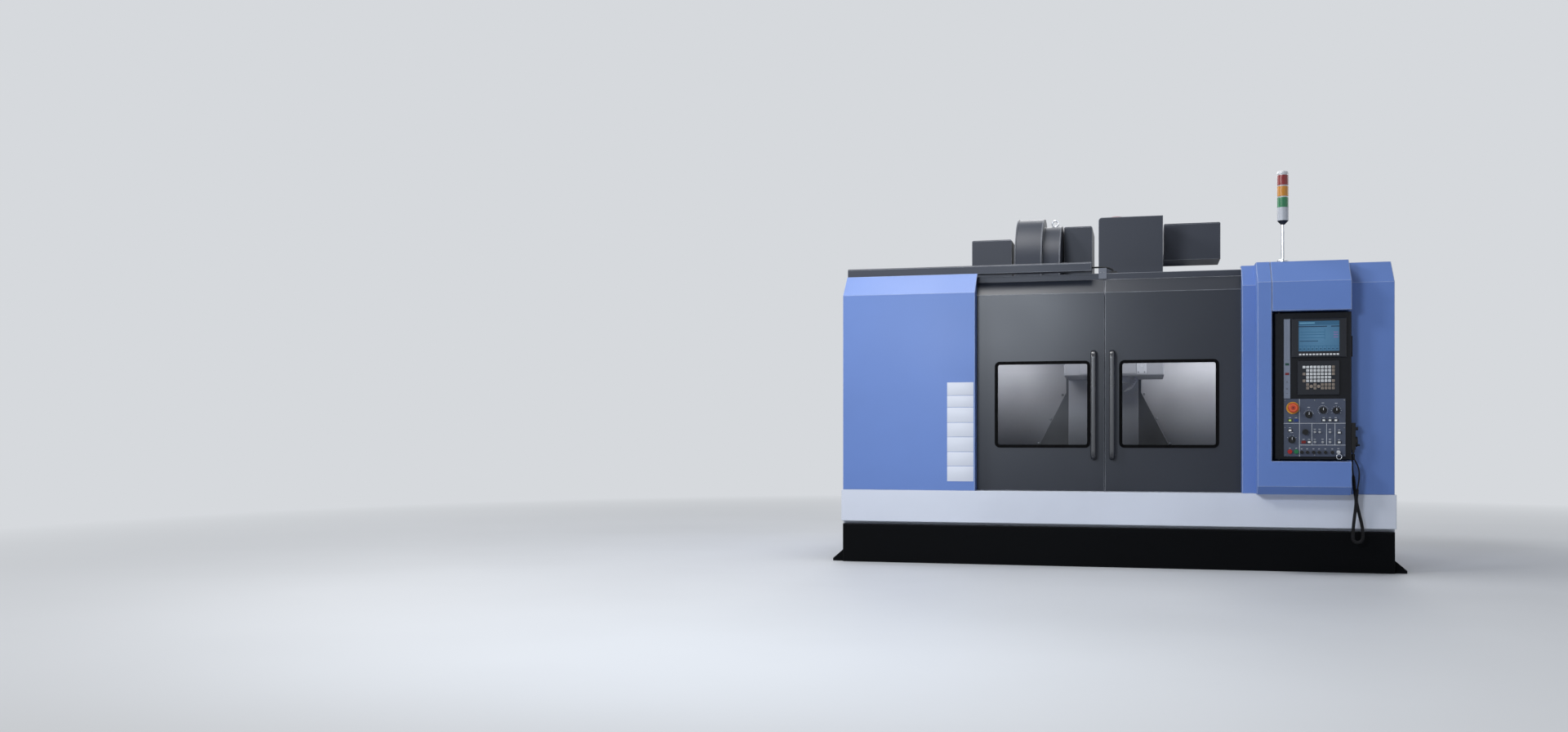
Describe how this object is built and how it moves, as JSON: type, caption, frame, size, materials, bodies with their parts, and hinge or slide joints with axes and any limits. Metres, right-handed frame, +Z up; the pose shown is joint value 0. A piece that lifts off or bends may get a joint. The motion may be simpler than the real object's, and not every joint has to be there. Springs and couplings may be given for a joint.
{
  "type": "cnc machining center",
  "caption": "Vertical machining centre with sliding front doors, a swivelling operator panel, a hand pendant on a curly lead, a tool magazine drum and a tower lamp.",
  "frame": {"origin": "middle of the bounding box's base, on the floor", "axes": "+X to the operator's right, +Y into the machine away from the operator, +Z up"},
  "size_m": [2.912, 2.43, 2.012],
  "materials": {
    "blue_paint": "satin powder coat",
    "door_grey": "satin powder coat",
    "white_paint": "satin powder coat",
    "plinth_black": "semi-matt paint",
    "cover_grey": "satin paint",
    "inner_grey": "satin paint",
    "casting_grey": "painted casting",
    "machined": "ground steel",
    "steel": "bright steel",
    "handle_dark": "satin anodised",
    "gasket": "matt rubber",
    "window": "clear laminated glass",
    "panel_black": "fine moulded texture",
    "bezel_black": "fine moulded texture",
    "display": "lit display",
    "plate_grey": "printed film",
    "knob_black": "moulded",
    "stop_red": "moulded",
    "start_green": "moulded",
    "lamp_white": "moulded",
    "lamp_colours": "clear tinted plastic",
    "cord_black": "sheathed lead"
  },
  "bodies": {
    "base": {"base_plinth": "plinth_black", "levelling_feet": "plinth_black", "front_apron": "white_paint", "left_front_panel": "blue_paint", "right_front_panel": "blue_paint", "operator_box": "blue_paint", "operator_header": "blue_paint", "left_side_panel": "blue_paint", "right_side_panel": "blue_paint", "rear_panel": "cover_grey", "roof_panel": "cover_grey", "door_tracks": "cover_grey", "splash_walls": "inner_grey", "rail_cover": "cover_grey", "interlock_switch": "knob_black", "magazine_cover": "cover_grey", "left_rear_box": "cover_grey", "changer_cover": "cover_grey", "right_rear_box": "cover_grey", "lifting_eye": "steel", "lamp_pole": "steel", "lamp_body": "lamp_white", "lamp_lenses": "lamp_colours", "bed": "casting_grey", "column": "casting_grey", "column_guard": "inner_grey", "electrical_cabinet": "cover_grey"},
    "left_door": {"left_door": "door_grey", "left_gasket": "gasket", "left_glass": "window", "left_handle": "handle_dark"},
    "right_door": {"right_door": "door_grey", "right_gasket": "gasket", "right_glass": "window", "right_handle": "handle_dark"},
    "saddle": {"saddle": "casting_grey"},
    "table": {"table": "machined"},
    "head": {"head": "inner_grey", "head_cover": "cover_grey"},
    "spindle": {"spindle": "steel"},
    "magazine": {"magazine_disc": "casting_grey"},
    "panel": {"panel_housing": "panel_black", "display_unit": "bezel_black", "screen": "display", "keypad": "bezel_black", "side_strip": "plate_grey", "operator_plate": "plate_grey", "pendant": "knob_black", "pendant_cord": "cord_black"},
    "estop": {"estop_button": "stop_red"},
    "mode_knob": {"mode_knob": "knob_black"},
    "feed_knob": {"feed_knob": "knob_black"},
    "spindle_knob": {"spindle_knob": "knob_black"},
    "rapid_knob": {"rapid_knob": "knob_black"},
    "stop_button": {"stop_button": "stop_red"},
    "start_button": {"start_button": "start_green"},
    "key": {"key_switch": "steel"},
    "hand_wheel": {"pendant_wheel": "knob_black"},
    "cabinet_door": {"cabinet_door": "cover_grey"},
    "main_switch": {"main_switch": "stop_red"}
  },
  "joints": [
    {"name": "left_door_slide", "type": "slide", "parent": "base", "child": "left_door", "axis": [-1, 0, 0], "range_m": [0, 0.56]},
    {"name": "right_door_slide", "type": "slide", "parent": "base", "child": "right_door", "axis": [1, 0, 0], "range_m": [0, 0.56]},
    {"name": "saddle_y", "type": "slide", "parent": "base", "child": "saddle", "axis": [0, 1, 0], "range_m": [-0.18, 0.18]},
    {"name": "table_x", "type": "slide", "parent": "saddle", "child": "table", "axis": [1, 0, 0], "range_m": [-0.51, 0.51]},
    {"name": "head_z", "type": "slide", "parent": "base", "child": "head", "axis": [0, 0, 1], "range_m": [-0.38, 0]},
    {"name": "spindle_spin", "type": "hinge", "parent": "head", "child": "spindle", "pos_m": [0.027, -0.445, 0.97], "axis": [0, 0, 1], "continuous": true},
    {"name": "magazine_turn", "type": "hinge", "parent": "base", "child": "magazine", "pos_m": [-0.44, -0.25, 1.605], "axis": [1, 0, 0], "continuous": true},
    {"name": "panel_swivel", "type": "hinge", "parent": "base", "child": "panel", "pos_m": [0.845, -1.157, 0.9], "axis": [0, 0, -1], "range_deg": [0, 75]},
    {"name": "estop_press", "type": "slide", "parent": "panel", "child": "estop", "axis": [0, 1, 0], "range_m": [0, 0.006], "stiffness_N_per_m": 2500},
    {"name": "stop_press", "type": "slide", "parent": "panel", "child": "stop_button", "axis": [0, 1, 0], "range_m": [0, 0.004], "stiffness_N_per_m": 800},
    {"name": "start_press", "type": "slide", "parent": "panel", "child": "start_button", "axis": [0, 1, 0], "range_m": [0, 0.004], "stiffness_N_per_m": 800},
    {"name": "mode_turn", "type": "hinge", "parent": "panel", "child": "mode_knob", "pos_m": [0.98295, -1.169, 0.78735], "axis": [0, 1, 0], "range_deg": [-75, 75]},
    {"name": "feed_turn", "type": "hinge", "parent": "panel", "child": "feed_knob", "pos_m": [1.04896, -1.169, 0.80909], "axis": [0, 1, 0], "range_deg": [-135, 135]},
    {"name": "spindle_turn", "type": "hinge", "parent": "panel", "child": "spindle_knob", "pos_m": [1.11095, -1.169, 0.80708], "axis": [0, 1, 0], "range_deg": [-120, 120]},
    {"name": "rapid_turn", "type": "hinge", "parent": "panel", "child": "rapid_knob", "pos_m": [0.90402, -1.169, 0.66265], "axis": [0, 1, 0], "range_deg": [-60, 60]},
    {"name": "key_turn", "type": "hinge", "parent": "panel", "child": "key", "pos_m": [1.12013, -1.169, 0.60174], "axis": [0, 1, 0], "range_deg": [0, 90]},
    {"name": "hand_wheel_turn", "type": "hinge", "parent": "panel", "child": "hand_wheel", "pos_m": [1.202, -1.13, 0.6539], "axis": [1, 0, 0], "continuous": true},
    {"name": "cabinet_door_swing", "type": "hinge", "parent": "base", "child": "cabinet_door", "pos_m": [-0.43, 1.175, 0.9], "axis": [0, 0, 1], "range_deg": [0, 110]},
    {"name": "main_switch_turn", "type": "hinge", "parent": "cabinet_door", "child": "main_switch", "pos_m": [0.301, 1.18, 1.0872], "axis": [0, 1, 0], "range_deg": [0, 90]}
  ]
}
